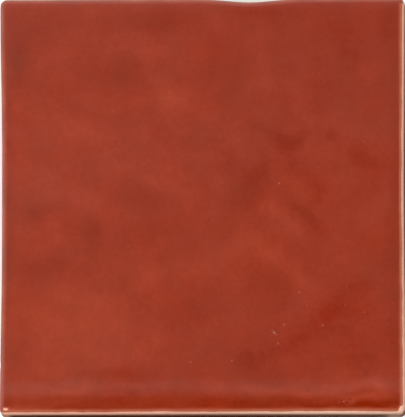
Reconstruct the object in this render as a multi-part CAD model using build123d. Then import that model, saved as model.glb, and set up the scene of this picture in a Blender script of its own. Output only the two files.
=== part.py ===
from build123d import *
import math
import os

# A pressed wall tile, fired as one piece: a wavy, cushion-edged glazed face and a keyed back.
# It lies on its back with the glazed face up. +X runs across the tile, +Y to its top edge, and
# the origin is the middle of the plane it rests on. Lengths are millimetres, angles degrees.

# Plan, over all at the back
tile_width = 98.5  # between the left and right edges
tile_height = 101.5  # between the bottom and top edges
corner_radius = 1.7  # rounding of the four corners
left_hollow = 0.40  # how far drying drew in the middle of the left edge
right_hollow = 0.20
bottom_hollow = 0.06
dip_depth = 0.60  # a shallow dip in the top edge
dip_width = 22.0
dip_offset = 11.5  # from the middle of the tile to the middle of the dip

# Section
thickness = 8.5  # resting plane to the level of the face
side_draft = 1.0  # the sides widen towards the back, so that the press lets go
arris_radius = 1.2  # rounding between the face and the sides
arris_limit = 0.9  # most of the face's corner rounding that the arris may take up
bottom_roll_drop = 0.40  # how far the cushioned border falls to the bottom edge
bottom_roll_reach = 5.0  # and how far in from that edge it starts
edge_roll_drop = 0.10  # the same at the other three edges
edge_roll_reach = 3.0
bead_height = 0.11  # a low bead of thicker glaze runs along the bottom edge
bead_inset = 4.5  # from the edge to the crest of the bead
bead_reach = 4.0  # from the crest to either foot of the bead

# Waves of the hand-finished face: two trains that cross
wave_height = 0.045  # of each train, above and below the level of the face
across_wave_length = 41.0
along_wave_length = 53.0
wave_slant = 0.3  # how far one train leans into the other

# Keyed back: a grid of shallow drafted cells that the adhesive bites into
key_depth = 0.7
key_cell = 8.4  # side of a cell at the resting plane
key_rib = 2.6  # left standing between two cells
key_border = 5.0  # least plain margin round the grid
key_draft = 20.0

# Sampling of the face surface
face_overhang = 3.0  # it is drawn this far past the outline and then trimmed
face_station_gap = 1.5
face_tolerance = 0.005


def drawn_in(height):
    # how far the drafted sides have come in at this height above the back
    return height * math.tan(math.radians(side_draft))


def plan_outline(inset):
    # the outline of the tile, drawn in by an even inset
    right, top = tile_width / 2 - inset, tile_height / 2 - inset
    left, bottom = -right, -top
    dip_left, dip_right = dip_offset - dip_width / 2, dip_offset + dip_width / 2
    with BuildSketch() as plan:
        with BuildLine():
            ThreePointArc((left, bottom), (0, bottom + bottom_hollow), (right, bottom))
            ThreePointArc((right, bottom), (right - right_hollow, 0), (right, top))
            Line((right, top), (dip_right, top))
            Spline(
                (dip_right, top),
                (dip_offset, top - dip_depth),
                (dip_left, top),
                tangents=((-1, 0), (-1, 0)),
            )
            Line((dip_left, top), (left, top))
            ThreePointArc((left, top), (left + left_hollow, 0), (left, bottom))
        make_face()
        corners = plan.vertices().filter_by(lambda v: abs(v.X) > right - corner_radius / 2)
        fillet(corners, corner_radius - inset)
    return plan.sketch


def roll_off(inset, drop, reach):
    # fall of the cushioned border at this distance in from its edge, tangent to the flat
    return drop * max(0.0, 1 - inset / reach) ** 2


def bead_rise(inset):
    # rise of the glaze bead at this distance in from the bottom edge, tangent to the flat
    return bead_height * max(0.0, 1 - ((inset - bead_inset) / bead_reach) ** 2) ** 2


def face_level(x, y):
    waves = math.sin(2 * math.pi * (x + wave_slant * y) / across_wave_length)
    waves += math.cos(2 * math.pi * (y - wave_slant * x) / along_wave_length)
    from_bottom = tile_height / 2 + y
    fall = roll_off(from_bottom, bottom_roll_drop, bottom_roll_reach)
    fall += roll_off(tile_height / 2 - y, edge_roll_drop, edge_roll_reach)
    fall += roll_off(tile_width / 2 - abs(x), edge_roll_drop, edge_roll_reach)
    return thickness + wave_height * waves + bead_rise(from_bottom) - fall


def stations(length):
    # evenly spaced places along a length, centred on it and reaching past both ends
    reach = length / 2 + face_overhang
    gaps = math.ceil(2 * reach / face_station_gap)
    return [-reach + 2 * reach * i / gaps for i in range(gaps + 1)]


def face_surface():
    rows = [
        [Vector(x, y, face_level(x, y)) for x in stations(tile_width)]
        for y in stations(tile_height)
    ]
    return Face.make_surface_from_array_of_points(rows, tol=face_tolerance)


def pressed_body():
    # a drafted blank, drawn tall, is trimmed to the face surface and its arris rounded
    blank_height = thickness + 2 * arris_radius
    blank_top = Pos(0, 0, blank_height) * plan_outline(drawn_in(blank_height))
    blank = loft([plan_outline(0), blank_top], ruled=True)
    body = blank - Solid.extrude(face_surface(), Vector(0, 0, 2 * blank_height))
    face = body.faces().sort_by(Axis.Z)[-1]
    largest_arris = arris_limit * (corner_radius - drawn_in(thickness))
    return fillet(face.outer_wire().edges(), min(arris_radius, largest_arris))


def key_cells():
    pitch = key_cell + key_rib
    across = int((tile_width - 2 * key_border + key_rib) // pitch)
    along = int((tile_height - 2 * key_border + key_rib) // pitch)
    cell = extrude(Rectangle(key_cell, key_cell), key_depth, taper=key_draft)
    return [place * cell for place in GridLocations(pitch, pitch, across, along)]


os.makedirs("parts", exist_ok=True)
tile = pressed_body() - key_cells()
export_step(tile, "parts/tile.step")
print("tile: volume", round(tile.volume), "mm3, size", tile.bounding_box().size)
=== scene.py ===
import bmesh
import bpy
import math
from mathutils import Matrix, Vector, noise


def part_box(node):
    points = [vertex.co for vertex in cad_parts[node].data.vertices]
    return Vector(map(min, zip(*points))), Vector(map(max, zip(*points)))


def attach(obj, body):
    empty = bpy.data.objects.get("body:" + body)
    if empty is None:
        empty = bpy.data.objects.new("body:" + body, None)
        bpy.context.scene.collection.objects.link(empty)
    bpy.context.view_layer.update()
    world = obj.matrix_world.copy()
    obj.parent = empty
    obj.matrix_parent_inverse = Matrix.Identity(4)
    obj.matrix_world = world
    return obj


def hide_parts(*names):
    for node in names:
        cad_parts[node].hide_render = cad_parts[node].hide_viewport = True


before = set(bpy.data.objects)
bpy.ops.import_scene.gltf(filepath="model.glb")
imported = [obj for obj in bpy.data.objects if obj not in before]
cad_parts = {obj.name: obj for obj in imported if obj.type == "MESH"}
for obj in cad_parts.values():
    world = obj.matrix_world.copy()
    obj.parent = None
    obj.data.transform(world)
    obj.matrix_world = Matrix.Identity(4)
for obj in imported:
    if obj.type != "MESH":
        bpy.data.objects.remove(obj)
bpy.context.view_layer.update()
tileLow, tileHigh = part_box("tile")
mm = 0.001  # the tile is shaped in millimetres and scaled to metres at the end


def toLinear(hexColour):
    channels = [int(hexColour[i:i + 2], 16) / 255 for i in (1, 3, 5)]
    return [c / 12.92 if c <= 0.04045 else ((c + 0.055) / 1.055) ** 2.4 for c in channels] + [1.0]


def addNode(tree, kind, inputs=None, **settings):
    node = tree.nodes.new(kind)
    for name, value in settings.items():
        setattr(node, name, value)
    for socket, value in (inputs or {}).items():
        if isinstance(value, bpy.types.NodeSocket):
            tree.links.new(value, node.inputs[socket])
        else:
            node.inputs[socket].default_value = value
    return node


def ease(value, low, high):
    share = min(1.0, max(0.0, (value - low) / (high - low)))
    return share * share * (3 - 2 * share)


noiseGain, laneGap = 1.6, 7.3  # bring the noise to about plus or minus 1, and set its lanes apart
finerShare = 0.5  # of the finer wander that rides on a broad one


def wander(x, y, size, lane):
    # a smooth rise and fall of about plus or minus 1, with humps this many mm across
    return noiseGain * noise.noise(Vector((x / size, y / size, laneGap * lane)))


def hump(value, middle, reach):
    # 1 at the middle, falling smoothly to about a third at this reach from it
    return math.exp(-((value - middle) / reach) ** 2)


# the fired body, in mm and degrees: the part's sizes, but for a dip and edges fitted closer to the photo
tileBody = dict(
    cornerRadius=1.7,
    leftHollow=0.40, rightHollow=0.20, bottomHollow=0.06,  # edges drawn in at their middle
    dipDepth=0.86, dipWidth=26.0, dipOffset=11.5,  # dip in the top edge
    # slow unevenness of the left and right edges: its middle in y, reach, and shift to the right
    leftWobble=((41.0, 14.0, -0.19), (-15.0, 12.0, 0.07)),
    rightWobble=((6.0, 14.0, -0.07), (-32.0, 13.0, 0.07)),
    shiftFade=(3, 6),  # powers by which these shifts die away towards the middle, in x and in y
    rightFlare=0.13,  # the right side widens this much more to its foot
    sideDraft=1.0,
    thickness=8.5, arris=1.2,
    rollDrop=0.40, rollReach=5.0,  # fall of the bottom border
    edgeDrop=0.10, edgeReach=3.0,  # and of the other three
    beadHeight=0.11, beadInset=4.5, beadReach=4.0,  # low bead of thicker glaze along the bottom edge
    waveHeight=0.045, acrossWave=41.0, alongWave=53.0, waveSlant=0.3,
    footRound=0.2,  # worn edge round the back
    keyDepth=0.7, keyCell=8.4, keyRib=2.6, keyBorder=5.0, keyDraft=20.0, keyCorner=1.2,
    pressRise=0.03, pressRough=0.02, pressGrain=3.0,  # press marks of the back, and their size
    sideRough=0.02, sideGrain=2.6, sideSkew=3,  # roughness of the bare sides, its size and its slant
)

# the glaze on it, in mm
glazeCoat = dict(
    film=0.10, proud=0.08,  # step from the glaze down to bare clay, and how far it stands over the clay body
    stepAt=(-0.05, 0.55),  # from the bottom of the step to its top, counted from the glaze's end
    ripple=0.03, rippleSize=13.0, rippleFine=13.0 / 2.3,  # slow unevenness of the molten coat
    rippleSunk=1.2,  # how many ripples deep it lies, to stay under the part's face
    beadWander=1.0, beadSize=12.0, beadFine=4.0, beadStretch=3,  # unevenness of the bead
    ends=dict(left=3.4, right=0.75, top=3.0, bottom=0.77),  # how far it runs past the face, over the arris
    endWander=dict(left=1.3, right=0.10, top=1.1, bottom=0.12), endSize=7.0, endFine=2.1,
    bottomSkew=-0.0006,  # the bottom end draws back to the right
    sideShy=0.1425,  # the dressed tile is this much narrower than the part, at the left and at the right
    thinFrom=1.25, thinnest=0.12, thinAcross=(5, 25),  # it thins towards its end, from the left to the right
    breaks=0.75, breakPatchy=0.4, breakSize=6.0, breakTilt=(3, 60),  # and over the arris, by its tilt
)

# the lists below were placed against the photo, in its pixels
photoMiddle = (201.7, 206.0)  # column and row of the middle of the face
photoPixel = 0.2435  # mm of the face across one pixel

# bubbles that burst as the glaze cooled: column, row, radius in mm, and how pale or how dark they look; the
# pale ones show clay and are partly a painted glint
pinholes = (
    (278, 184, 0.26, 0.10), (113, 110, 0.24, 0.05), (227, 119, 0.22, 0.05), (362, 142, 0.24, 0.03),
    (150, 254, 0.24, 0.04), (129, 246, 0.22, 0.04), (298, 293, 0.26, 0.08), (305, 306, 0.24, 0.05),
    (343, 306, 0.24, 0.03), (362, 313, 0.24, 0.05), (283, 325, 0.26, 0.09), (273, 333, 0.30, 0.20),
    (271, 331, 0.20, 0.12), (275, 335, 0.20, 0.12),
    (277, 344, 0.28, 0.08), (321, 326, 0.24, 0.11), (190, 362, 0.26, 0.10), (231, 361, 0.26, 0.12),
    (37, 329, 0.24, 0.02), (98, 338, 0.24, 0.02), (133, 358, 0.24, 0.04),
    (208, 221, 0.28, -0.35), (80, 182, 0.26, -0.3), (23, 229, 0.26, -0.3), (283, 57, 0.26, -0.25),
    (204, 137, 0.24, -0.2), (143, 82, 0.24, -0.25), (348, 288, 0.26, -0.6), (235, 365, 0.26, -0.5),
    (340, 401, 0.22, -0.5), (345, 403, 0.25, -0.7), (348, 400, 0.22, -0.6), (341, 404, 0.20, -0.5),
    (342, 402, 0.22, 0.12), (337, 403, 0.22, 0.06), (351, 402, 0.20, 0.06),
)

# a pinhole's lip and crater, and where its mark fades, in shares of its radius
pinholeShape = dict(lipHeight=0.02, lipAt=1.25, lipWidth=0.35, depth=0.15, reach=4, markFade=(0.5, 1.25))

# bare corners, and two small spots of clay by the bottom-left corner that are a painted glint: column, row
# and radius in mm
bareAndGlintSpots = ((404.0, 412.5, 2.0), (3.5, 415.0, 1.0), (6.0, 408.3, 0.3), (7.8, 408.5, 0.3))
bareEdge = dict(ragged=0.15, size=1.3, abrupt=3)  # share of the radius, mm, and how much faster it thins

# where the glaze pooled dark or ran thin and light: column, row, long and short reach, turn in degrees,
# tone from -1 dark to 1 light, and how brown it is; the light ones along the bead near the bottom edge are
# partly a painted reflection of its band
glazeBlotches = (
    (18, 62, 20, 9, 90, -0.6, 0.6), (165, 22, 40, 12, 0, -0.7, 0.0), (260, 14, 28, 8, 0, -0.5, 0.0),
    (345, 40, 56, 40, -20, -0.4, -0.05), (345, 32, 14, 9, 0, -0.25, 0.0), (388, 25, 20, 11, 90, -0.4, 0.15),
    (125, 75, 26, 20, 0, -0.45, 0.1), (225, 65, 36, 24, 90, -0.4, 0.0), (330, 95, 36, 28, 0, -0.25, 0.0),
    (283, 145, 11, 10, 0, -0.7, 0.1), (268, 133, 19, 8, -32, -0.75, 0.0), (296, 138, 13, 7, 30, -0.6, 0.0),
    (283, 118, 17, 12, 90, -0.4, 0.1), (250, 189, 25, 14, 58, -0.7, 0.1), (263, 169, 15, 11, 50, -0.4, 0.1),
    (306, 217, 28, 6, -43, -0.65, 0.0), (312, 186, 23, 8, -63, -0.5, 0.0), (290, 162, 14, 8, 80, -0.4, 0.0),
    (195, 142, 22, 12, 0, -0.4, 0.1), (228, 162, 16, 11, 0, -0.45, 0.0), (332, 140, 8, 7, 0, -0.5, 0.0),
    (365, 161, 21, 9, -36, -0.65, 0.0), (35, 212, 11, 10, 0, -0.5, 0.25), (90, 231, 19, 11, -35, -0.55, 0.2),
    (40, 266, 34, 12, 0, -0.5, 0.1), (147, 197, 22, 13, 0, -0.35, 0.1), (157, 230, 28, 18, 0, -0.2, 0.05),
    (270, 294, 26, 20, 0, -0.3, -0.1), (192, 310, 30, 20, 0, -0.25, 0.1), (337, 311, 22, 16, 0, -0.65, -0.15),
    (362, 288, 21, 8, 0, -0.5, -0.2), (302, 334, 25, 12, 32, -0.55, -0.15), (252, 360, 22, 11, 0, -0.8, 0.0),
    (278, 350, 18, 9, 30, -0.4, 0.0), (350, 350, 40, 26, 0, -0.35, -0.15), (387, 300, 60, 7, 90, -0.25, 0.1),
    (30, 30, 30, 22, 0, -0.45, 0.15), (110, 374, 50, 6, 0, -0.4, 0.0), (292, 372, 30, 8, 0, -0.25, 0.0),
    (85, 326, 62, 40, 0, 0.45, 0.0), (75, 298, 24, 11, 0, 0.3, 0.0), (42, 330, 18, 20, 0, 0.25, 0.0),
    (110, 318, 24, 18, 0, 0.2, 0.0), (90, 352, 36, 14, 0, 0.25, 0.0), (158, 277, 36, 16, 14, 0.35, 0.0),
    (212, 264, 28, 16, 10, 0.3, 0.0), (240, 245, 24, 14, 25, 0.35, 0.0), (272, 255, 20, 9, -30, 0.4, -0.2),
    (300, 279, 18, 7, -48, 0.5, 0.0), (284, 222, 26, 8, -45, 0.45, 0.0), (88, 135, 18, 10, -15, 0.35, 0.0),
    (62, 125, 22, 12, 0, 0.25, 0.0), (167, 97, 24, 14, -55, 0.45, 0.0), (145, 52, 24, 10, -10, 0.3, 0.0),
    (90, 28, 26, 16, 0, -0.1, 0.05), (60, 55, 18, 14, 0, 0.05, 0.0), (44, 178, 22, 13, -10, 0.35, 0.0),
    (85, 199, 22, 10, -20, 0.3, 0.0), (164, 184, 32, 6, -22, 0.4, 0.0), (260, 83, 10, 8, 0, 0.35, 0.0),
    (350, 225, 28, 18, 0, 0.3, 0.0), (384, 198, 10, 12, 0, 0.4, 0.0), (120, 160, 26, 14, 0, 0.25, 0.0),
    (55, 394, 60, 12, 0, 0.4, 0.0), (350, 388, 52, 12, 0, 0.5, 0.0), (10, 330, 30, 5, 90, 0.3, 0.0),
    (9, 206, 190, 4, 90, -0.1, 0.2), (394, 206, 200, 6, 90, -0.15, 0.3), (110, 401, 18, 4, 0, -0.3, 0.0),
    (255, 401, 60, 4, 0, -0.2, 0.0), (375, 398, 28, 5, 0, 0.4, 0.0), (372, 404, 28, 2.5, 0, -0.45, 0.0),
    (40, 402, 40, 5, 0, 0.4, 0.1), (73, 391, 14, 4, 0, 0.5, 0.0), (125, 391, 18, 4, 0, -0.45, 0.0),
    (268, 392, 30, 6, 0, 0.4, 0.0), (302, 396, 30, 6, 0, 0.4, 0.0), (347, 399, 28, 5, 0, 0.4, 0.0),
    (385, 388, 14, 6, 0, 0.35, 0.0), (386, 398, 14, 4, 0, 0.3, 0.0), (205, 381, 16, 5, 0, 0.3, 0.0),
    (335, 374, 24, 10, 0, 0.25, 0.0), (70, 373, 24, 6, 0, 0.2, 0.0), (62, 383, 16, 3, 0, -0.2, 0.0),
    (177, 386, 14, 6, 0, -0.2, 0.0), (265, 382, 20, 4, 0, -0.25, 0.0), (172, 401, 20, 5, 0, 0.3, 0.0),
    (205, 396, 10, 4, 0, -0.3, 0.0), (15, 407, 10, 4, 0, 0.5, 0.0), (240, 404, 24, 4, 0, -0.25, 0.0),
    (290, 406, 24, 3, 0, -0.2, 0.0), (374, 406, 22, 3, 0, -0.45, 0.0), (100, 407, 40, 4, 0, -0.15, 0.0),
    (335, 409, 50, 2.5, 0, 0.9, 0.0), (203, 409, 12, 2.5, 0, 0.8, 0.0), (20, 409, 14, 2.5, 0, 0.8, 0.0),
    (73, 409, 20, 2.5, 0, -0.5, 0.0), (135, 409, 24, 2.5, 0, -0.5, 0.0), (73, 391, 14, 3, 0, 0.35, 0.0),
    (140, 391, 24, 3, 0, -0.35, 0.0), (268, 390, 22, 4, 0, 0.35, 0.0), (307, 394, 14, 4, 0, 0.35, 0.0),
    (357, 394, 15, 3, 0, -0.5, 0.0), (370, 400, 22, 3, 0, 0.45, 0.0), (387, 389, 9, 4, 0, 0.4, 0.0),
    (30, 407, 26, 3, 0, 0.45, 0.0), (325, 406, 60, 2.5, 0, -0.45, 0.0), (203, 406, 12, 2.5, 0, -0.4, 0.0),
    (45, 371, 46, 9, 0, 0.2, 0.0), (387, 372, 12, 9, 0, 0.3, 0.0), (358, 404, 6, 2.5, 0, -0.4, 0.0),
    (362, 377, 3, 4, 0, -0.5, 0.2), (396, 400, 3, 8, 0, -0.4, 0.2),
)
blotchEdge = dict(ragged=0.7, size=4.5)  # how far the blotches' outlines wander, in mm
blotchFar = 9  # squared reaches away from a blotch, where it no longer shows
paintedShadeSlope = -0.003  # painted shade: the glaze's tone darkens by this much for each mm to the right
bottomPool = dict(inset=3.0, reach=1.5, tone=-0.4)  # a darker band along the bottom edge
bottomStreaks = dict(inset=5.0, reach=3.5, tone=0.2, size=1.6, stretch=2)  # streaks of both tones along it

# a light stain of all bare sides, and painted shade on the bottom and right sides, darkest at the foot, from
# 0 to about 1, with places in mm
rosyToCream = (-25, 30)  # over which the bottom edge's clay changes colour, in x
sideShadeAndStain = dict(
    everywhere=0.3, bottom=0.7, right=0.6,
    bottomFrom=(-47.4, -45.8), bottomTo=(43.5, 45.5), pastEnd=0.6,  # ends of the bottom stain, in x
    climb=0.02, clean=(6.0, 8.4),  # it climbs to the left, and is gone at these levels
    # the painted shade is darkest at the foot and fades with the height
    atFoot=1.03, fall=0.0108,
    chip=(47.8, 2.2, 0.8), chipCore=0.4, chipDark=1.2,  # dark chip in the bottom side: x, level and radius
)

meshDetail = dict(
    faceStep=0.62, arrisRings=10, sideRings=11, footRings=3, pinholeCuts=4, pinholePatch=0.95,
    closing=(1.44, 0.792, 0.36, 0.24, 0.12, 0.0),  # insets of the last lines, close enough for round corners
    slopeStep=0.2, joinGap=0.0005, boxMargin=0.005,
)
surfaceMarks = ("glazeReach", "glazeTone", "glazeBrown", "glazeThin", "stainAndShade", "pinhole", "clayPale")
farBare = -9.0  # reach of the glaze at the back, where there is none
bareSide = -0.35  # faces with less reach than this have the material of bare clay

tileWidth = (tileHigh.x - tileLow.x) / mm
tileHeight = (tileHigh.y - tileLow.y) / mm
drawnIn = tileBody["thickness"] * math.tan(math.radians(tileBody["sideDraft"]))  # by the draft, at the face
# where the face ends and the arris starts
railX = tileWidth / 2 - drawnIn - tileBody["arris"] - glazeCoat["sideShy"]
railY = tileHeight / 2 - drawnIn - tileBody["arris"]
railCorner = tileBody["cornerRadius"] - drawnIn - tileBody["arris"]
keyWall = tileBody["keyDepth"] * math.tan(math.radians(tileBody["keyDraft"]))
keyPitch = tileBody["keyCell"] + tileBody["keyRib"]


def cellsAcross(length):
    return int((length - 2 * tileBody["keyBorder"] + tileBody["keyRib"]) // keyPitch)


def gridLines(rail, length):
    # lines from the middle out: half a rib, then wall, floor, wall and rib of each cell, then the border
    floor = tileBody["keyCell"] - 2 * keyWall
    closing = meshDetail["closing"]
    runs = [tileBody["keyRib"] / 2]
    for cell in range(cellsAcross(length) // 2):
        runs += [keyWall, floor, keyWall, tileBody["keyRib"]]
    runs[-1] = rail - closing[0] - sum(runs[:-1])
    lines = [0.0]
    for run in runs:
        start, steps = lines[-1], max(1, round(run / meshDetail["faceStep"]))
        lines += [start + run * (step + 1) / steps for step in range(steps)]
    lines += [rail - inset for inset in closing[1:]]
    return [-line for line in reversed(lines[1:])] + lines


linesX = gridLines(railX, tileWidth)
linesY = gridLines(railY, tileHeight)
print("tile grid:", len(linesX) - 1, "by", len(linesY) - 1, "faces")


def dipAt(x):
    share = min(1.0, abs(x - tileBody["dipOffset"]) * 2 / tileBody["dipWidth"])
    return tileBody["dipDepth"] * (1 - ease(share, 0, 1))


def planPlace(u, v):
    # a grid corner from -1 to 1 each way becomes a place on the face and the way out from it
    x = linesX[round((u + 1) / 2 * (len(linesX) - 1))]
    y = linesY[round((v + 1) / 2 * (len(linesY) - 1))]
    insetX, insetY = railX - abs(x), railY - abs(y)
    radius = railCorner - min(insetX, insetY)
    along = abs(insetX - insetY)
    turn = math.radians(45) * max(0.0, 1 - along / radius) if radius > 0 else 0.0
    if insetX > insetY:
        turn = math.radians(90) - turn
    out = Vector((math.copysign(math.cos(turn), x), math.copysign(math.sin(turn), y)))
    if radius > along:
        x = math.copysign(railX - railCorner, x) + out.x * radius
        y = math.copysign(railY - railCorner, y) + out.y * radius
    shareX, shareY = x / railX, y / railY
    drawX = (tileBody["leftHollow"] if x < 0 else -tileBody["rightHollow"]) * (1 - shareY ** 2)
    for middle, reach, shift in tileBody["leftWobble" if x < 0 else "rightWobble"]:
        drawX += shift * hump(y, middle, reach)
    drawY = tileBody["bottomHollow"] * (1 - shareX ** 2) if y < 0 else -dipAt(x)
    shiftX = drawX * abs(shareX) ** tileBody["shiftFade"][0]
    shiftY = drawY * abs(shareY) ** tileBody["shiftFade"][1]
    return x + shiftX, y + shiftY, out


def rollOff(inset, drop, reach):
    return drop * max(0.0, 1 - inset / reach) ** 2


def faceLevel(x, y):
    waves = math.sin(2 * math.pi * (x + tileBody["waveSlant"] * y) / tileBody["acrossWave"])
    waves += math.cos(2 * math.pi * (y - tileBody["waveSlant"] * x) / tileBody["alongWave"])
    fall = rollOff(tileHeight / 2 + y, tileBody["rollDrop"], tileBody["rollReach"])
    fall += rollOff(tileHeight / 2 - y, tileBody["edgeDrop"], tileBody["edgeReach"])
    fall += rollOff(tileWidth / 2 - abs(x), tileBody["edgeDrop"], tileBody["edgeReach"])
    return tileBody["thickness"] + tileBody["waveHeight"] * waves - fall


def glazeLevel(x, y):
    # the molten coat lies unevenly and gathers in a bead along the bottom edge
    ripple = wander(x, y, glazeCoat["rippleSize"], 1) + finerShare * wander(x, y, glazeCoat["rippleFine"], 2)
    wavy = wander(x, 0, glazeCoat["beadSize"], 3)
    wavy += finerShare * wander(x, y / glazeCoat["beadStretch"], glazeCoat["beadFine"], 13)
    fromBead = tileHeight / 2 + y - tileBody["beadInset"] - glazeCoat["beadWander"] * wavy
    bead = tileBody["beadHeight"] * max(0.0, 1 - (fromBead / tileBody["beadReach"]) ** 2) ** 2
    ripple = ripple / (1 + finerShare) - glazeCoat["rippleSunk"]
    return faceLevel(x, y) + bead + glazeCoat["ripple"] * ripple


def glazeEnd(x, y, out):
    # how far past the face the glaze runs here
    shares = dict(left=max(0, -out.x), right=max(0, out.x), top=max(0, out.y), bottom=max(0, -out.y))
    ragged = wander(x, y, glazeCoat["endSize"], 4) + finerShare * wander(x, y, glazeCoat["endFine"], 5)
    return glazeCoat["bottomSkew"] * x * shares["bottom"] + sum(
        share ** 2 * (glazeCoat["ends"][side] + glazeCoat["endWander"][side] * ragged)
        for side, share in shares.items()
    )


def thinning(x, reach):
    # how far the glaze has thinned to orange, as it comes to its end: sooner towards the right
    thinnest = glazeCoat["thinnest"] * ease(x, *glazeCoat["thinAcross"])
    return 1 - ease(reach, thinnest, glazeCoat["thinFrom"])


def nearBare(x, y, reach):
    # the glaze also ends round the places where it is knocked or fired off, and round two small spots that
    # show clay as a painted glint
    for column, row, radius in bareAndGlintSpots:
        spotX, spotY = onFace(column, row)
        edge = radius * (1 + bareEdge["ragged"] * wander(x, y, bareEdge["size"], 9))
        reach = min(reach, bareEdge["abrupt"] * (math.hypot(x - spotX, y - spotY) - edge))
    return reach


def faceReach(x, y):
    # how far a place on the face lies from the glaze's end at the bottom and right, and its thinning
    reach = glazeEnd(x, y, Vector((0, -1))) + railY + y
    reach = min(reach, glazeEnd(x, y, Vector((1, 0))) + railX - x)
    reach = nearBare(x, y, reach)
    return reach, thinning(x, reach)


def onFace(column, row):
    return (column - photoMiddle[0]) * photoPixel, (photoMiddle[1] - row) * photoPixel


def glazeTone(x, y):
    # how light and how brown the glaze is here, below 0 redder, with the blotches' outlines a little ragged
    tone, brown = paintedShadeSlope * x, 0.0
    x += blotchEdge["ragged"] * wander(x, y, blotchEdge["size"], 11)
    y += blotchEdge["ragged"] * wander(x, y, blotchEdge["size"], 12)
    for column, row, longReach, shortReach, turn, lightness, brownness in glazeBlotches:
        blotX, blotY = onFace(column, row)
        turned = Vector((x - blotX, y - blotY))
        turned.rotate(Matrix.Rotation(math.radians(-turn), 2))
        away = (turned.x / (longReach * photoPixel)) ** 2 + (turned.y / (shortReach * photoPixel)) ** 2
        if away < blotchFar:
            tone += lightness * math.exp(-away)
            brown += brownness * math.exp(-away)
    inset = tileHeight / 2 + y
    tone += bottomPool["tone"] * hump(inset, bottomPool["inset"], bottomPool["reach"])
    streak = wander(x / bottomStreaks["stretch"], y, bottomStreaks["size"], 15)
    tone += bottomStreaks["tone"] * hump(inset, bottomStreaks["inset"], bottomStreaks["reach"]) * streak
    return tone, brown


def keyInset(x, y):
    # how far in from a cell's rounded outline, in mm, or below 0 on the ribs and the border
    across, along = cellsAcross(tileWidth) * keyPitch / 2, cellsAcross(tileHeight) * keyPitch / 2
    if abs(x) > across or abs(y) > along:
        return -1.0
    half, corner = tileBody["keyCell"] / 2, tileBody["keyCorner"]
    offX = abs(x % keyPitch - keyPitch / 2)
    offY = abs(y % keyPitch - keyPitch / 2)
    past = math.hypot(max(0, offX - half + corner), max(0, offY - half + corner))
    return min(corner - past, half - max(offX, offY))


def backLevel(x, y):
    # shallow drafted cells, with the press marks of the clay in them
    hollow = min(1.0, max(0.0, keyInset(x, y) / keyWall))
    grain = tileBody["pressRise"] + tileBody["pressRough"] * wander(x, y, tileBody["pressGrain"], 6)
    return tileBody["keyDepth"] * hollow + max(0.0, grain)


def bare(reach):
    # the coat's step down to bare clay, as it comes to its end
    return glazeCoat["proud"] - glazeCoat["film"] * (1 - ease(reach, *glazeCoat["stepAt"]))


def clayPaleness(x, atBottom):
    # the bottom edge fired rosy to the left and cream to the right, the cream partly a painted sheen, and the
    # other sides between the two
    return 0.5 + (ease(x, *rosyToCream) - 0.5) * atBottom


def shadeAndStainAt(x, level, out):
    # a light stain of all bare sides, with painted shade on the bottom and right sides, darkest as painted
    # shadow along the foot of the bottom side
    facingDown, facingRight = max(0, -out.y), max(0, out.x)
    atBottom = facingDown ** 2
    along = ease(x, *sideShadeAndStain["bottomFrom"]) * (1 - sideShadeAndStain["pastEnd"] * ease(x, *sideShadeAndStain["bottomTo"]))
    darkening = sideShadeAndStain["everywhere"] + sideShadeAndStain["bottom"] * atBottom * along
    darkening += sideShadeAndStain["right"] * facingRight ** 2
    chipX, chipLevel, chipRadius = sideShadeAndStain["chip"]
    fromChip = math.hypot(x - chipX, level - chipLevel)
    chip = 1 - ease(fromChip, sideShadeAndStain["chipCore"] * chipRadius, chipRadius)
    darkening = max(darkening, sideShadeAndStain["chipDark"] * chip * facingDown)
    height = max(0, level + sideShadeAndStain["climb"] * x * atBottom)
    darkening *= 1 - ease(max(level, height), *sideShadeAndStain["clean"])
    return darkening * (sideShadeAndStain["atFoot"] - sideShadeAndStain["fall"] * height ** 2)


def ringProfile():
    # rings from the face's rail over the arris, down the side, round the foot and in under the back
    rings = []
    for kind in ("arris", "side", "foot"):
        steps = meshDetail[kind + "Rings"]
        rings += [dict(kind=kind, share=(step + 1) / steps) for step in range(steps)]
    return rings + [dict(kind="under")]


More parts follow.
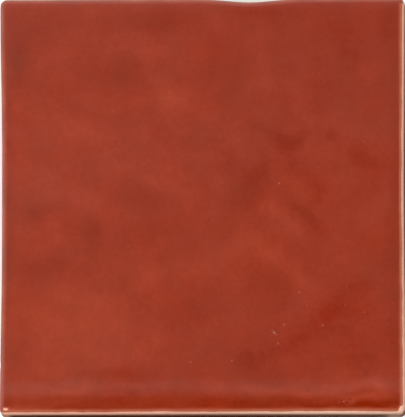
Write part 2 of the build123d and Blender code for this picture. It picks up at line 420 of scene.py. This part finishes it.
def ringPlace(vert, ring, layers):
    x, y, out = planPlace(vert[layers["gridPlace"]].x, vert[layers["gridPlace"]].y)
    if ring["kind"] == "under":
        vert.co = x, y, backLevel(x, y)
        vert[layers["glazeReach"]] = farBare
        return
    foot, upright, step = tileBody["footRound"], math.radians(90), meshDetail["slopeStep"]
    top = glazeLevel(x, y)
    inner = glazeLevel(x - step * out.x, y - step * out.y)
    start = math.atan2(inner - top, step)  # the arris goes on from the slope of the face
    radius = tileBody["arris"] / (1 - math.sin(start))
    sideTop = top - radius * math.cos(start)
    slope = math.tan(math.radians(tileBody["sideDraft"]))
    flare = tileBody["rightFlare"] * max(0, out.x) ** 2
    tilt, run = upright, radius * (upright - start)
    if ring["kind"] == "arris":
        tilt = start + (upright - start) * ring["share"]
        run = radius * (tilt - start)
        outward = radius * (math.sin(tilt) - math.sin(start))
        level = top - radius * (math.cos(start) - math.cos(tilt))
    elif ring["kind"] == "side":
        drop = (sideTop - foot) * ring["share"]
        run += drop
        outward, level = tileBody["arris"] + drop * slope + flare * ring["share"], sideTop - drop
    else:
        run += sideTop
        worn = foot * (1 - math.cos(upright * ring["share"]))
        outward = tileBody["arris"] + (sideTop - foot) * slope + flare - worn
        level = foot * (1 - math.sin(upright * ring["share"]))
    placeX, placeY = x + out.x * outward, y + out.y * outward
    reach = nearBare(placeX, placeY, glazeEnd(x, y, out) - run)
    relief = bare(reach)
    if reach < 0 and ring["kind"] == "side":
        rough, skew = tileBody["sideRough"], tileBody["sideSkew"] * level
        relief += rough * wander(x + skew, y - skew, tileBody["sideGrain"], 8) - rough
    furthest = tileBody["arris"] + drawnIn + flare - meshDetail["boxMargin"]  # stays inside the part's box
    outward = min(outward + relief * math.sin(tilt), furthest)
    raised = level + (relief - glazeCoat["proud"]) * math.cos(tilt)
    vert.co = x + out.x * outward, y + out.y * outward, raised
    patchy = glazeCoat["breaks"] + glazeCoat["breakPatchy"] * wander(x, y, glazeCoat["breakSize"], 14)
    broken = patchy * ease(math.degrees(tilt), *glazeCoat["breakTilt"])  # thin and light over the arris
    vert[layers["glazeReach"]] = reach
    vert[layers["glazeThin"]] = max(broken, thinning(x, reach))
    vert[layers["clayPale"]] = clayPaleness(placeX, max(0, -out.y) ** 2)
    vert[layers["stainAndShade"]] = shadeAndStainAt(placeX, level, out)


def refinePinholes(bm):
    # finer patches of the face round the pinholes, cut all at once so that those that meet stay joined
    patch = meshDetail["pinholePatch"]
    places = [onFace(column, row) for column, row, radius, shows in pinholes]
    near = {
        vert for vert in bm.verts
        if any(abs(vert.co.x - x) < patch and abs(vert.co.y - y) < patch for x, y in places)
    }
    edges = [edge for edge in bm.edges if edge.verts[0] in near and edge.verts[1] in near]
    bmesh.ops.subdivide_edges(bm, edges=edges, cuts=meshDetail["pinholeCuts"], use_grid_fill=True)


def sinkPinhole(bm, layers, pinhole):
    # a small crater that has a raised lip
    column, row, radius, shows = pinhole
    x, y = onFace(column, row)
    for vert in bm.verts:
        away = math.hypot(vert.co.x - x, vert.co.y - y) / radius
        if away > pinholeShape["reach"]:
            continue
        lip = pinholeShape["lipHeight"] * radius * hump(away, pinholeShape["lipAt"], pinholeShape["lipWidth"])
        vert.co.z += lip - pinholeShape["depth"] * radius * max(0.0, 1 - away * away)
        mark = shows * (1 - ease(away, *pinholeShape["markFade"]))
        if abs(mark) > abs(vert[layers["pinhole"]]):
            vert[layers["pinhole"]] = mark


def buildTile():
    bm = bmesh.new()
    layers = {name: bm.verts.layers.float.new(name) for name in surfaceMarks}
    layers["gridPlace"] = bm.verts.layers.float_vector.new("gridPlace")
    segments = dict(x_segments=len(linesX) - 1, y_segments=len(linesY) - 1, size=1.0)
    bmesh.ops.create_grid(bm, **segments)
    for vert in bm.verts:
        vert[layers["gridPlace"]] = vert.co
        x, y, out = planPlace(vert.co.x, vert.co.y)
        vert.co = x, y, glazeLevel(x, y)
        vert[layers["glazeReach"]], vert[layers["glazeThin"]] = faceReach(x, y)
        vert[layers["glazeTone"]], vert[layers["glazeBrown"]] = glazeTone(x, y)
        vert[layers["clayPale"]] = clayPaleness(x, 1)
    refinePinholes(bm)
    for pinhole in pinholes:
        sinkPinhole(bm, layers, pinhole)
    rim = [edge for edge in bm.edges if edge.is_boundary]
    for ring in ringProfile():
        made = bmesh.ops.extrude_edge_only(bm, edges=rim)["geom"]
        rim = [part for part in made if isinstance(part, bmesh.types.BMEdge)]
        for vert in (part for part in made if isinstance(part, bmesh.types.BMVert)):
            ringPlace(vert, ring, layers)
    back = bmesh.ops.create_grid(bm, **segments)["verts"]
    for vert in back:
        x, y, out = planPlace(vert.co.x, vert.co.y)
        vert.co = x, y, backLevel(x, y)
        vert[layers["glazeReach"]] = farBare
    bmesh.ops.reverse_faces(bm, faces=list({face for vert in back for face in vert.link_faces}))
    bmesh.ops.remove_doubles(bm, verts=bm.verts[:], dist=meshDetail["joinGap"])
    bmesh.ops.recalc_face_normals(bm, faces=bm.faces[:])
    for face in bm.faces:
        face.material_index = int(max(vert[layers["glazeReach"]] for vert in face.verts) < bareSide)
    bm.verts.layers.float_vector.remove(layers["gridPlace"])
    return bm


def makeTile():
    bm = buildTile()
    bmesh.ops.scale(bm, vec=(mm, mm, mm), verts=bm.verts[:])
    mesh = bpy.data.meshes.new("glazedTile")
    bm.to_mesh(mesh)
    bm.free()
    mesh.shade_smooth()
    piece = bpy.data.objects.new("glazedTile", mesh)
    bpy.context.scene.collection.objects.link(piece)
    triangles = sum(len(polygon.vertices) - 2 for polygon in mesh.polygons)
    print("tile mesh:", len(mesh.vertices), "vertices,", triangles, "triangles")
    return piece


# Earthenware glaze, fired glossy over pale pink biscuit: deep red-brown where it pools, paler and
# more orange where it runs thin, ending in a satin clay line; the bare sides are matt, with painted shade
# that browns them towards the foot
glazeFinish = dict(
    pooled="#892408", plain="#98331B", thin="#A84128", edge="#BF6345", brown="#82321E", pinholeDark="#4E0F04",
    # the cream clay colour is partly a painted sheen on the bottom edge's line
    rosyClay="#F9B8A0", clay="#F9C4AA", creamClayAndSheen="#FFD9BE", clayShade="#EEAE93", foot="#4B1C07",
    cloudSize=5.0, tingeSize=6.5, speckSize=1.0, gritSize=0.5,  # mm across
    cloudShare=1.15, speckShare=0.84,  # how strongly they change the glaze's tone
    tingeShare=0.8, tingeLift=0.06,  # how strongly it changes the glaze's brownness, and lifts it
    endGrit=0.3, endFade=(0.1, 0.25),  # grit of the glaze's end, and where it fades out, in mm
    gloss=0.08, clayRoughness=0.6, glazeSheen=0.5, claySheen=0.0,
)


def tileMaterial(name, sheen):
    material = bpy.data.materials.new(name)
    material.use_nodes = True
    tree = material.node_tree
    tree.nodes.clear()
    place = addNode(tree, "ShaderNodeTexCoord").outputs["Object"]
    marks = {
        mark: addNode(tree, "ShaderNodeAttribute", attribute_name=mark).outputs["Fac"]
        for mark in surfaceMarks
    }
    cloud = addNode(tree, "ShaderNodeTexNoise", {
        "Vector": place, "Scale": 1 / (glazeFinish["cloudSize"] * mm), "Detail": 4.0, "Roughness": 0.6})
    speck = addNode(tree, "ShaderNodeTexNoise", {
        "Vector": place, "Scale": 1 / (glazeFinish["speckSize"] * mm), "Detail": 2.0, "Roughness": 0.6})
    grit = addNode(tree, "ShaderNodeTexNoise", {
        "Vector": place, "Scale": 1 / (glazeFinish["gritSize"] * mm), "Detail": 3.0})
    tinge = addNode(tree, "ShaderNodeTexNoise", {
        "Vector": place, "Scale": 1 / (glazeFinish["tingeSize"] * mm), "Detail": 1.5, "W": 4.0},
        noise_dimensions="4D")

    # tone and brownness of the glaze; the noises lie about a half
    level = -(glazeFinish["cloudShare"] + glazeFinish["speckShare"]) / 2
    uneven = addNode(tree, "ShaderNodeMath", {
        0: cloud.outputs["Fac"], 1: glazeFinish["cloudShare"], 2: level}, operation="MULTIPLY_ADD")
    uneven = addNode(tree, "ShaderNodeMath", {
        0: speck.outputs["Fac"], 1: glazeFinish["speckShare"], 2: uneven.outputs[0]},
        operation="MULTIPLY_ADD")
    uneven = addNode(tree, "ShaderNodeMath", {0: uneven.outputs[0], 1: marks["glazeTone"]}, operation="ADD")
    depth = addNode(tree, "ShaderNodeMapRange", {
        "Value": uneven.outputs[0], "From Min": -1.0, "From Max": 1.0})
    level = -glazeFinish["tingeShare"] / 2 + glazeFinish["tingeLift"]
    brown = addNode(tree, "ShaderNodeMath", {
        0: tinge.outputs["Fac"], 1: glazeFinish["tingeShare"], 2: level}, operation="MULTIPLY_ADD")
    brown = addNode(tree, "ShaderNodeMath", {0: brown.outputs[0], 1: marks["glazeBrown"]}, operation="ADD")
    # pinholes below 0 turn the glaze darker
    pinholeDarkness = addNode(tree, "ShaderNodeMath", {
        0: marks["pinhole"], 1: -1.0}, operation="MULTIPLY", use_clamp=True)

    glaze = addNode(tree, "ShaderNodeValToRGB", {"Fac": depth.outputs["Result"]})
    clay = addNode(tree, "ShaderNodeValToRGB", {"Fac": marks["clayPale"]})
    for ramp, stops in ((glaze, ("pooled", "plain", "thin")), (clay, ("rosyClay", "clay", "creamClayAndSheen"))):
        ramp.color_ramp.elements.new(0.5)
        for element, stop in zip(ramp.color_ramp.elements, stops):
            element.color = toLinear(glazeFinish[stop])
    glazeColour = addNode(tree, "ShaderNodeMix", {
        0: brown.outputs[0], 6: glaze.outputs["Color"], 7: toLinear(glazeFinish["brown"])},
        data_type="RGBA", clamp_factor=False)
    glazeColour = addNode(tree, "ShaderNodeMix", {
        0: marks["glazeThin"], 6: glazeColour.outputs[2], 7: toLinear(glazeFinish["edge"])}, data_type="RGBA")
    glazeColour = addNode(tree, "ShaderNodeMix", {
        0: pinholeDarkness.outputs[0], 6: glazeColour.outputs[2], 7: toLinear(glazeFinish["pinholeDark"])}, data_type="RGBA")
    clayColour = addNode(tree, "ShaderNodeMix", {
        0: grit.outputs["Fac"], 6: toLinear(glazeFinish["clayShade"]), 7: clay.outputs["Color"]},
        data_type="RGBA")
    # painted shade: the bare clay darkens to the foot colour by this mark, darkest at the foot of the bottom
    # side; only a light part of it is stain
    clayColour = addNode(tree, "ShaderNodeMix", {
        0: marks["stainAndShade"], 6: clayColour.outputs[2], 7: toLinear(glazeFinish["foot"])}, data_type="RGBA")

    # the glaze covers the clay up to its gritty end, but for the pale pinholes, which are partly a painted
    # glint
    ragged = addNode(tree, "ShaderNodeMath", {
        0: grit.outputs["Fac"], 1: glazeFinish["endGrit"], 2: marks["glazeReach"]}, operation="MULTIPLY_ADD")
    fadeFrom, fadeTo = glazeFinish["endFade"]
    covered = addNode(tree, "ShaderNodeMapRange", {
        "Value": ragged.outputs[0], "From Min": fadeFrom, "From Max": fadeTo},
        interpolation_type="SMOOTHSTEP")
    whole = addNode(tree, "ShaderNodeMath", {
        0: 1.0, 1: marks["pinhole"]}, operation="SUBTRACT", use_clamp=True)
    covered = addNode(tree, "ShaderNodeMath", {
        0: covered.outputs["Result"], 1: whole.outputs[0]}, operation="MULTIPLY")
    colour = addNode(tree, "ShaderNodeMix", {
        0: covered.outputs[0], 6: clayColour.outputs[2], 7: glazeColour.outputs[2]}, data_type="RGBA")
    roughness = addNode(tree, "ShaderNodeMapRange", {
        "Value": covered.outputs[0], "To Min": glazeFinish["clayRoughness"], "To Max": glazeFinish["gloss"]})
    shader = addNode(tree, "ShaderNodeBsdfPrincipled", {
        "Base Color": colour.outputs[2], "Roughness": roughness.outputs["Result"], "IOR": 1.5,
        "Specular IOR Level": sheen})
    addNode(tree, "ShaderNodeOutputMaterial", {"Surface": shader.outputs[0]})
    return material


# Plain pale studio floor: white to the eye, with little of its light thrown back on the tile
studioFloor = dict(size=6.0, seen="#FFFFFF", glow=0.2, thrownBack="#4A4846")


def makeFloor():
    bm = bmesh.new()
    bmesh.ops.create_grid(bm, x_segments=1, y_segments=1, size=studioFloor["size"] / 2)
    mesh = bpy.data.meshes.new("studioFloor")
    bm.to_mesh(mesh)
    bm.free()
    floor = bpy.data.objects.new("studioFloor", mesh)
    bpy.context.scene.collection.objects.link(floor)
    material = bpy.data.materials.new("paleStudioFloor")
    material.use_nodes = True
    tree = material.node_tree
    tree.nodes.clear()
    rays = addNode(tree, "ShaderNodeLightPath")
    seen = addNode(tree, "ShaderNodeMath", {
        0: rays.outputs["Is Camera Ray"], 1: rays.outputs["Is Glossy Ray"]}, operation="MAXIMUM")
    seen = addNode(tree, "ShaderNodeMath", {
        0: seen.outputs[0], 1: rays.outputs["Is Transmission Ray"]}, operation="MAXIMUM")
    colour = addNode(tree, "ShaderNodeMix", {
        0: seen.outputs[0], 6: toLinear(studioFloor["thrownBack"]), 7: toLinear(studioFloor["seen"])},
        data_type="RGBA")
    glow = addNode(tree, "ShaderNodeMath", {0: seen.outputs[0], 1: studioFloor["glow"]}, operation="MULTIPLY")
    shader = addNode(tree, "ShaderNodeBsdfPrincipled", {
        "Base Color": colour.outputs[2], "Roughness": 1.0, "Specular IOR Level": 0.0,
        "Emission Color": toLinear(studioFloor["seen"]), "Emission Strength": glow.outputs[0]})
    addNode(tree, "ShaderNodeOutputMaterial", {"Surface": shader.outputs[0]})
    mesh.materials.append(material)


def leaning(toRight, toTop):
    # a way up that leans this many degrees to the tile's right and top
    x, y = math.sin(math.radians(toRight)), math.sin(math.radians(toTop))
    return Vector((x, y, math.sqrt(max(0.0, 1 - x * x - y * y))))


# Soft light tent: a pale cloth behind the tile's top and left, two small bright soft boxes at its front
# corners, two dim wide ones, and a dark hole between them to shoot through
lightTent = dict(
    cloth=1.2, clothWay=(-0.5, 0.8, 0.2), clothFade=(-0.2, 0.9),
    # lean to the right and top in degrees, level, and fade in degrees from the middle, dark to bright
    boxes=((35.0, -28.0, 16.5, 11.0, 6.0), (-30.0, -30.0, 14.0, 11.0, 6.0),
           (45.0, -10.0, 0.65, 45.0, 10.0), (0.0, -45.0, 0.37, 35.0, 10.0)),
    hole=(2.0, -4.9), holeFade=(4.0, 24.0),
    unlit=0.02,
)


def makeWorld():
    world = bpy.data.worlds.new("lightTent")
    bpy.context.scene.world = world
    world.use_nodes = True
    tree = world.node_tree
    tree.nodes.clear()
    way = addNode(tree, "ShaderNodeTexCoord").outputs["Generated"]

    def spot(middle, fade):
        towards = addNode(tree, "ShaderNodeVectorMath", {0: way, 1: middle}, operation="DOT_PRODUCT")
        angle = addNode(tree, "ShaderNodeMath", {0: towards.outputs["Value"]}, operation="ARCCOSINE")
        dark, bright = (math.radians(degrees) for degrees in fade)
        return addNode(tree, "ShaderNodeMapRange", {
            "Value": angle.outputs[0], "From Min": dark, "From Max": bright},
            interpolation_type="SMOOTHSTEP").outputs["Result"]

    clothWay = Vector(lightTent["clothWay"]).normalized()
    cloth = addNode(tree, "ShaderNodeVectorMath", {0: way, 1: clothWay}, operation="DOT_PRODUCT")
    fadeFrom, fadeTo = lightTent["clothFade"]
    level = addNode(tree, "ShaderNodeMapRange", {
        "Value": cloth.outputs["Value"], "From Min": fadeFrom, "From Max": fadeTo,
        "To Max": lightTent["cloth"]},
        interpolation_type="SMOOTHSTEP").outputs["Result"]
    for toRight, toTop, strength, dark, bright in lightTent["boxes"]:
        box = spot(leaning(toRight, toTop), (dark, bright))
        lit = addNode(tree, "ShaderNodeMath", {0: box, 1: strength, 2: level}, operation="MULTIPLY_ADD")
        level = lit.outputs[0]
    hole = spot(leaning(*lightTent["hole"]), lightTent["holeFade"])
    level = addNode(tree, "ShaderNodeMath", {
        0: level, 1: hole, 2: lightTent["unlit"]}, operation="MULTIPLY_ADD")
    tent = addNode(tree, "ShaderNodeBackground", {"Color": (1, 1, 1, 1), "Strength": level.outputs[0]})
    addNode(tree, "ShaderNodeOutputWorld", {"Surface": tent.outputs[0]})


# Long lens from well back, leaning a little to the tile's bottom and right edges
cameraStand = dict(
    distance=2.2, lean=(7.4, 2.43), roll=-0.055,  # metres and degrees
    sensor=36.0,  # mm
    frameHeight=100.77,  # mm of the tile that the picture's height takes in
    aim=(0.030, -0.650, 8.1),  # mm from the middle of the tile's back
)


def makeCamera():
    leanY, leanX = (math.radians(angle) for angle in cameraStand["lean"])
    away = Vector((math.sin(leanX), -math.sin(leanY), 0))
    away.z = math.sqrt(1 - away.length_squared)
    aim = Vector(cameraStand["aim"]) * mm
    lens = bpy.data.cameras.new("longLens")
    lens.sensor_width = cameraStand["sensor"]
    lens.lens = lens.sensor_width * cameraStand["distance"] / (cameraStand["frameHeight"] * mm)
    camera = bpy.data.objects.new("camera", lens)
    roll = math.radians(cameraStand["roll"])
    across = Vector((math.sin(roll), math.cos(roll), 0)).cross(away).normalized()
    camera.matrix_world = Matrix((across, away.cross(across), away)).transposed().to_4x4()
    camera.location = aim + away * cameraStand["distance"]
    bpy.context.scene.collection.objects.link(camera)
    bpy.context.scene.camera = camera


bpy.context.scene.view_settings.view_transform = "Standard"
makeCamera()
makeWorld()
makeFloor()
print("studio: camera, light tent and floor")
tile = makeTile()
tile.data.materials.append(tileMaterial("redGlazeOnBiscuitClay", glazeFinish["glazeSheen"]))
tile.data.materials.append(tileMaterial("bareBiscuitClay", glazeFinish["claySheen"]))
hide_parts("tile")
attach(tile, "root")
print("tile: finished and placed")
